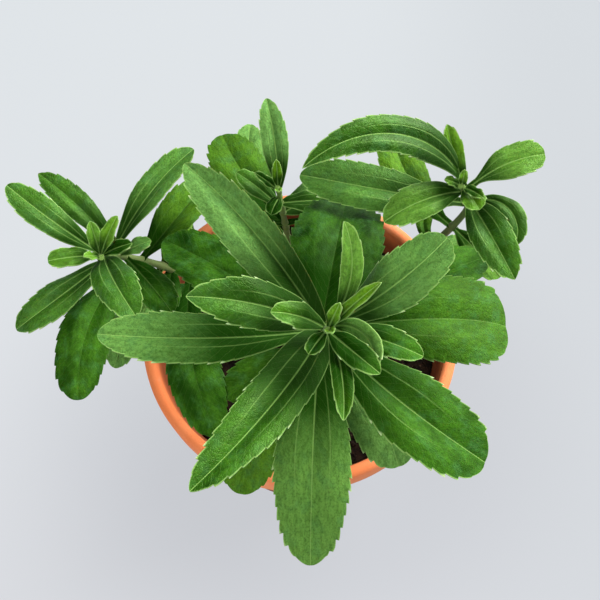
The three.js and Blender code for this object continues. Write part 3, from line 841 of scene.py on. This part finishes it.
def leaf_skin(name, shine, dullness):
    leaf = Finish(name, 0.42, Specular_IOR_Level=shine, Specular_Tint=(0.50, 1, 0.22, 1),
                  Subsurface_Weight=0.06, Subsurface_Scale=0.8 * MM)
    along, across, age = leaf.read("along"), leaf.read("across"), leaf.read("age")
    tone, under, shade = leaf.read("tone"), leaf.read("under"), leaf.read("shade")
    away = leaf.sum("ABSOLUTE", across)
    place = leaf.place(along, across, leaf.sum("MULTIPLY", tone, 97))

    blotches = leaf.grain(place, 0.14, detail=3, stretch=(0.6, 1, 1))
    streaks = leaf.grain(place, 0.8, detail=4, stretch=(0.4, 1, 1))
    leather = leaf.grain(place, 1.5, detail=3)
    wander = leaf.grain(place, 0.35, detail=1)
    net = leaf.fade(leaf.cells(place, 1.1), 0.0, 0.16)
    slant = leaf.sum("SUBTRACT", along, leaf.sum("MULTIPLY", away, 1.25))
    slant = leaf.sum("MULTIPLY_ADD", wander, 1.6, slant)
    crest = leaf.sum("ABSOLUTE", leaf.sum("SINE", leaf.sum("MULTIPLY", slant, 1.05)))
    side_veins = leaf.fade(crest, 0.16, 0.0)

    part = leaf.read("part")
    crisp = leaf.fade(age, 0.66, 0.84, low=0.08)
    crisp = leaf.sum("MAXIMUM", crisp, leaf.fade(tone, 0.5, 1.0, high=0.8))
    thin = leaf.fade(part, 0.15, 1.0, low=1.0, high=0.35)
    rib = leaf.fade(away, leaf.sum("MULTIPLY", thin, 0.42), leaf.sum("MULTIPLY", thin, 0.14))
    rib = leaf.sum("MULTIPLY", rib, crisp)
    nerve = leaf.fade(leaf.sum("ABSOLUTE", leaf.read("nerve")), 0.30, 0.06)
    nerve = leaf.sum("MULTIPLY", nerve, leaf.fade(part, 0.12, 0.3))
    nerve = leaf.sum("MULTIPLY", nerve, leaf.fade(part, 0.85, 0.4))
    nerve = leaf.sum("MULTIPLY", nerve, leaf.fade(age, 0.97, 0.90, low=0.25))
    nerve = leaf.sum("MULTIPLY", nerve, crisp)
    margin = leaf.sum("MULTIPLY", leaf.fade(leaf.read("edge"), 0.34, 0.08), crisp)
    points = leaf.sum("MULTIPLY", leaf.fade(leaf.read("point"), 0.62, 0.9), crisp)

    colour = leaf.mix(leaf.fade(blotches, 0.3, 0.7), LEAF_DEEP, LEAF_GREEN)
    # A dark listed tone is mostly painted shade and a pale one painted light; unlisted tones are
    # random.
    old = leaf.sum("MULTIPLY", leaf.fade(age, 0.82, 0.55), leaf.fade(tone, 0.1, 0.9))
    colour = leaf.mix(leaf.fade(tone, 0.3, 1.0, high=0.4), colour, LEAF_GREEN)
    colour = leaf.mix(old, colour, LEAF_OLD)
    colour = leaf.mix(leaf.fade(tone, 0.75, 1.0, high=0.75), colour, LEAF_PALE)
    colour = leaf.mix(leaf.fade(leaf.grain(place, 0.25), 0.45, 0.75, high=0.4), colour, LEAF_COOL)
    fresh = leaf.sum("MULTIPLY", leaf.fade(age, 0.90, 0.98, high=0.85), leaf.fade(tone, 0.0, 0.7))
    colour = leaf.mix(fresh, colour, LEAF_YOUNG)
    colour = leaf.mix(leaf.fade(streaks, 0.60, 0.35, high=0.33), colour, LEAF_DEEP)
    colour = leaf.mix(leaf.fade(leather, 0.55, 0.35, high=0.36), colour, LEAF_DEEP)
    # Painted shade: each blade goes over into deep green towards its stem, by its shade number.
    colour = leaf.mix(leaf.sum("MULTIPLY", shade, 0.97), colour, LEAF_DEEP)
    colour = leaf.mix(under, colour, LEAF_UNDER)
    colour = leaf.mix(leaf.sum("MULTIPLY", side_veins, 0.08), colour, NERVE_PALE)
    # The lines are painted fainter where that painted shade is deep.
    drawn = leaf.fade(shade, 0.0, 1.0, low=1.0, high=0.6)
    for line, share, pale in (
        (nerve, 0.42, NERVE_PALE), (rib, 0.75, NERVE_PALE), (margin, 0.66, MARGIN_PALE),
    ):
        shown = leaf.sum("MULTIPLY", leaf.sum("MULTIPLY", line, drawn), share)
        colour = leaf.mix(shown, colour, pale)
    colour = leaf.mix(points, colour, TOOTH_PALE)

    lines = leaf.sum("MAXIMUM", leaf.sum("MULTIPLY", side_veins, 0.6), nerve)
    bumps = leaf.relief(leaf.sum("SUBTRACT", 1.0, lines), 0.11, 0.8)
    bumps = leaf.relief(net, 0.05, 0.8, under=bumps)
    bumps = leaf.relief(streaks, 0.3, 0.7, under=bumps)
    bumps = leaf.relief(leather, 0.10, 0.9, under=bumps)
    rough = leaf.sum("MULTIPLY_ADD", leather, 0.12, dullness)
    rough = leaf.sum("MAXIMUM", rough, leaf.sum("MULTIPLY", shade, 0.85))
    return leaf.done(Base_Color=colour, Roughness=rough, Normal=bumps)


LEAF_FINISHES = [leaf_skin("leaf", 0.5, 0.35), leaf_skin("shaded_leaf", 0.15, 0.5)]

# %% [markdown]
# ## Leaves
#
# A leaf could be drawn flat and bent by modifiers, but then each of the many leaves would need a
# curve of its own to follow. Here the bend is a short formula. Each leaf starts as a flat slab, a
# grid extruded once, so that it is closed from the start. Every point of the slab then knows its
# share along the leaf, its share across, and whether it is on the upper or the lower side, and
# the formula carries it to its place.
#
# First comes the rib. It leaves the stem at its rise and arches over as it goes.

# %% The rib of a leaf
LINE_STEPS = 48
DROOP_POWER = 1.4
PETIOLE_SHARE = 0.2
TIP_SHARE = 0.02


def lerp(first, second, share):
    """The number that lies at a share of the way from first to second."""
    return first + (second - first) * share


def rib_frames(root, leaf):
    """Frames along the rib: a point in mm, the way on, the way left and the way up."""
    frames = []
    point = root.copy()
    for i in range(LINE_STEPS + 1):
        s = i / LINE_STEPS
        climb = math.radians(leaf["rise"] - leaf["droop"] * s**DROOP_POWER)
        turn = math.radians(leaf["heading"] + leaf["bend"] * s)
        along = Vector((math.cos(climb) * math.cos(turn), math.cos(climb) * math.sin(turn),
                        math.sin(climb)))
        left = Vector((-math.sin(turn), math.cos(turn), 0))
        left = Matrix.Rotation(math.radians(leaf["roll"]), 3, along) @ left
        frames.append((point.copy(), along, left, along.cross(left)))
        point += along * (leaf["length"] / LINE_STEPS)
    return frames


def frame_at(frames, s):
    """The frame at share s of the leaf's length."""
    place = s * LINE_STEPS
    i = min(int(place), LINE_STEPS - 1)
    return [a.lerp(b, place - i) for a, b in zip(frames[i], frames[i + 1])]


def half_width(leaf, s):
    """Half the blade's width: a narrow stalk, a full blade, and a rounded tip."""
    rising = math.sin(math.pi / 2 * min(s / leaf["widest"], 1)) ** leaf["swell"]
    past = max(0, (s - leaf["widest"]) / (1 - leaf["widest"]))
    closing = max(0, 1 - past**2) ** leaf["blunt"]
    least = PETIOLE_SHARE if s < leaf["widest"] else TIP_SHARE
    return leaf["width"] / 2 * max(least, rising * closing)


# %% [markdown]
# The margin comes next. From about a third of its length on, a stevia leaf is toothed: each tooth
# swells outwards, points forwards and ends in a small notch. Each tooth gets a handful of steps,
# and the two edges are half a tooth apart, so that they never match like a saw cut from card.

# %% Teeth
TOOTHED_FROM = 0.34
TOOTHED_TO = 0.955
TOOTH_PITCH = 3.8
TOOTH_STEPS = 6
TOOTH_DEPTH = 0.042
TOOTH_LEAN = 0.30
TOOTH_POWER = 1.7
PLAIN_STEPS = 14
TIP_STATIONS = (0.966, 0.976, 0.985, 0.992, 0.997, 1)


def tooth_count(leaf):
    """How many teeth each edge of the leaf has."""
    toothed = leaf["length"] * (TOOTHED_TO - TOOTHED_FROM)
    return max(2, round(toothed / TOOTH_PITCH))


def stations(leaf):
    """Shares of the leaf's length where it gets a row of points."""
    plain = [TOOTHED_FROM * i / PLAIN_STEPS for i in range(PLAIN_STEPS)]
    count = tooth_count(leaf) * TOOTH_STEPS
    toothed = [lerp(TOOTHED_FROM, TOOTHED_TO, i / count) for i in range(count + 1)]
    return [*plain, *toothed, *TIP_STATIONS]


def tooth(leaf, s, side):
    """How far out the margin stands at s, from 0 in a notch to about 1 at a tooth's point."""
    if not TOOTHED_FROM < s < TOOTHED_TO:
        return 0.0
    share = (s - TOOTHED_FROM) / (TOOTHED_TO - TOOTHED_FROM)
    place = share * tooth_count(leaf) + (0.5 if side > 0 else 0.0) + 1e-6
    within = place % 1
    size = 0.75 + 0.25 * math.sin(5.1 * int(place) + leaf["heading"] + side)
    ends = min(1.0, 6 * share, 8 * (1 - share) + 0.3)
    return (1 - (1 - within) ** TOOTH_POWER) * size * ends


# %% [markdown]
# Then the blade itself. Its two halves are lifted into a shallow V, each half is arched a little,
# the rib lies in a groove above and stands out below, and between its slanting veins the blade is
# puffed like a quilt. The edges wave up and down. Past the side nerve each half falls away to its
# margin, so that the middle of a leaf catches the light and its borders darken. All but one leaf
# fall alike on both halves, and that one turns its right border up.

# %% The surface of a leaf
ACROSS = (0, 0.05, 0.13, 0.27, 0.40, 0.52, 0.66, 0.80, 0.90, 0.96, 1)
NERVE_PLACE = 0.47
NARROW_WIDTH = 11
FOLD_AT_ROOT = 1.25
FOLD_AT_TIP = 0.75
ARCH = 0.08
GROOVE = 0.16
GROOVE_REACH = 0.6
RIPPLE_TURN = 15
RIPPLE_OFFSET = 1.3
QUILT = 0.13
QUILT_PITCH = 3.6
QUILT_SLANT = 0.9
UNDULATION = 0.8
BLADE_THICKNESS = 0.34
RIB_DEPTH = 0.75
RIB_REACH = 0.75
MARGIN_SHARE = 0.2
SHADE_FADE = 0.45


def nerve_share(s):
    """Where the side nerve runs, as a share of the half width: it bows out and comes back."""
    return NERVE_PLACE * math.sin(math.pi * min(1, 0.12 + 0.80 * s)) ** 0.45


def fold_at(leaf, s):
    """How steeply the two halves rise at s. The V is sharper at the root than at the tip."""
    return math.radians(leaf["fold"] * lerp(FOLD_AT_ROOT, FOLD_AT_TIP, s))


def surface_lift(leaf, s, across, side, half):
    """How high the upper surface stands over the flat blade, in mm."""
    turn = RIPPLE_TURN * s + RIPPLE_OFFSET * side + leaf["heading"]
    body = math.sin(math.pi * min(1, s * 1.02))
    ripple = leaf["ripple"] * math.sin(turn) * body * across**1.5
    arch = ARCH * half * math.sin(math.pi * across) * body
    groove = -GROOVE * math.exp(-((across * half / GROOVE_REACH) ** 2)) * min(1, 6 * s)
    slant = (s * leaf["length"] - QUILT_SLANT * across * half) / QUILT_PITCH
    puff = QUILT * abs(math.sin(math.pi * slant)) * math.sin(math.pi * min(1, 1.1 * across)) * body
    spot = Vector((4.5 * s, 1.2 * across * side, 0.37 * leaf["heading"]))
    sway = UNDULATION * noise.noise(spot) * body * across * leaf["width"] / 20
    fall = leaf["fall"] * half * max(0, across - NERVE_PLACE) ** 1.5 * body
    fall *= 1 if side > 0 else leaf["even"]
    rise = half * across * math.sin(fold_at(leaf, s))
    return rise + ripple + arch + groove + puff + sway - fall


def thickness(leaf, s, across, half):
    """The blade's thickness, with the rib standing out below."""
    rib = RIB_DEPTH * lerp(1, 0.25, s) * math.exp(-((across * half / RIB_REACH) ** 2))
    return BLADE_THICKNESS + rib * min(1, leaf["width"] / 14)


def leaf_point(leaf, frames, s, column, upper):
    """A point of the blade in mm, and the numbers that its finish reads there."""
    point, along, left, up = frame_at(frames, s)
    side = 1 if column > 0 else -1
    across = ACROSS[abs(column)]
    plain = half_width(leaf, s) * (1 + side * leaf["skew"])
    bite = tooth(leaf, s, side)
    reach = max(0, (across - (1 - MARGIN_SHARE)) / MARGIN_SHARE)
    half = plain + bite * TOOTH_DEPTH * leaf["width"] * reach
    lift = surface_lift(leaf, s, across, side, half)
    lean = bite * reach**2 * TOOTH_LEAN * min(TOOTH_PITCH, leaf["width"] / 3)
    aside = side * across * half * math.cos(fold_at(leaf, s))
    spot = point + left * aside + up * lift + along * lean
    if not upper:
        spot -= up * thickness(leaf, s, across, half)
    thinning = 1 + max(0, NARROW_WIDTH - leaf["width"]) / 2
    # The last number is the painted shade, deep green at the stem end of the leaf.
    numbers = (s * leaf["length"], side * across * half, s,
               (across - nerve_share(s)) * half * thinning, (1 - across) * half, bite * reach,
               min(1, max(0, 1 - s / leaf["shade"]) / SHADE_FADE))
    return spot, numbers


# %% [markdown]
# Last, the slab. A grid is extruded once to give it an upper and a lower side, its points are
# carried to the blade, and the numbers for the finish are stored on them. All the leaves of a stem
# go into one piece, as they are one plant.

# %% Grow the leaves
NUMBERS = ("along", "across", "part", "nerve", "edge", "point", "shade")
SHADED_BELOW = 0.7


def slab(bm, steps_along, steps_across):
    """Adds a closed slab of unit size. Its upper side is at height 1, its lower side at 0."""
    lower = bmesh.ops.create_grid(bm, x_segments=steps_along, y_segments=steps_across, size=0.5)
    faces = list(dict.fromkeys(face for vert in lower["verts"] for face in vert.link_faces))
    grown = bmesh.ops.extrude_face_region(bm, geom=faces, use_keep_orig=True)["geom"]
    upper = [item for item in grown if isinstance(item, bmesh.types.BMVert)]
    bmesh.ops.translate(bm, verts=upper, vec=(0, 0, 1))
    return lower["verts"] + upper


def grow_leaf(bm, layers, line, leaf):
    """Adds one leaf to a stem's leaves."""
    frames = rib_frames(stem_point(line, leaf["at"])[0], leaf)
    rows = stations(leaf)
    columns = len(ACROSS) - 1
    for vert in slab(bm, len(rows) - 1, 2 * columns):
        s = rows[round((vert.co.x + 0.5) * (len(rows) - 1))]
        column = round(vert.co.y * 2 * columns)
        upper = vert.co.z > 0.5
        spot, numbers = leaf_point(leaf, frames, s, column, upper)
        vert.co = spot * MM
        for key, value in zip(NUMBERS, numbers):
            vert[layers[key]] = value
        vert[layers["age"]] = leaf["at"]
        vert[layers["tone"]] = leaf["tone"]
        vert[layers["under"]] = 0.0 if upper else 1.0
        if leaf["at"] < SHADED_BELOW or leaf["dull"]:
            for face in vert.link_faces:
                face.material_index = 1


def leaves(line, rows, seed):
    """All the leaves of one stem."""
    draw = random.Random(seed)
    bm = bmesh.new()
    keys = (*NUMBERS, "age", "tone", "under")
    layers = {key: bm.verts.layers.float.new(key) for key in keys}
    for row in rows:
        leaf = read_leaf(row)
        grow_leaf(bm, layers, line, {"tone": draw.random(), **leaf})
    bmesh.ops.recalc_face_normals(bm, faces=bm.faces[:])
    return bm


for seed, (name, (line, rows)) in enumerate(LEAFY_STEMS.items()):
    show(leaves(line, rows, seed), name + "_leaves", LEAF_FINISHES, "leaf", name)
